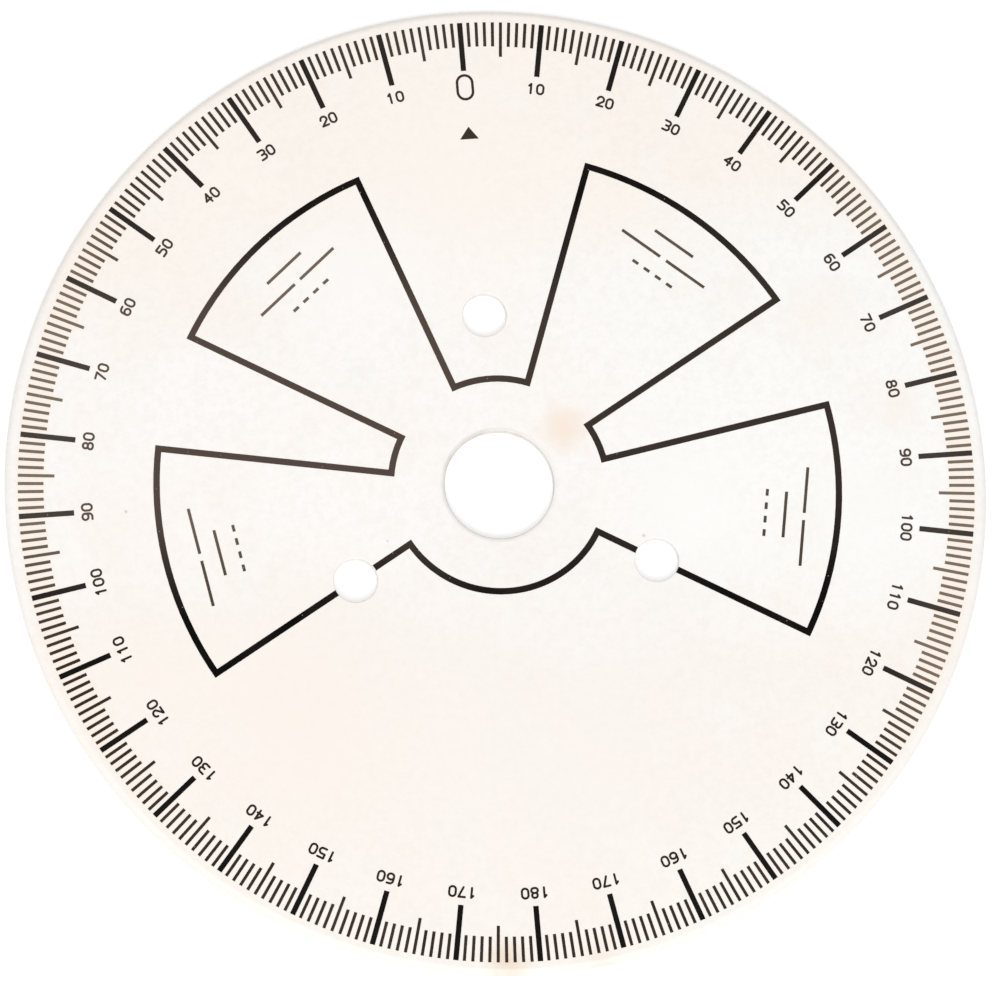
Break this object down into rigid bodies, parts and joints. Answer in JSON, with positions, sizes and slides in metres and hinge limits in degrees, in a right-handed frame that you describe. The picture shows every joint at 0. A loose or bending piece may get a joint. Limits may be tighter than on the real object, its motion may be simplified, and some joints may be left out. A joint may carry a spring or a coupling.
{
  "type": "degree wheel",
  "caption": "Flat round degree wheel for timing a camshaft: a centre bore, bolt holes and a printed scale from zero to 180 down both sides.",
  "frame": {"origin": "centre of the bore on the back face, the face that lies against the crank pulley", "axes": "+Z out of the printed face along the crank's axis, +Y towards the zero mark"},
  "size_m": [0.2286, 0.2286, 0.0024],
  "materials": {
    "metal": "satin mill finish",
    "enamel": "smooth white enamel",
    "ink": "matt black print"
  },
  "bodies": {
    "root": {"disc": "metal", "face_coat": "enamel", "one_degree_marks": "ink", "five_degree_marks": "ink", "ten_degree_marks": "ink", "zero_mark": "ink", "zero_numeral": "ink", "window_outline": "ink", "hub_outline": "ink", "index_mark": "ink", "note_lines_20_to_60": "ink", "note_lines_80_to_120": "ink", "note_lines_240_to_280": "ink", "note_lines_300_to_340": "ink"}
  },
  "joints": []
}
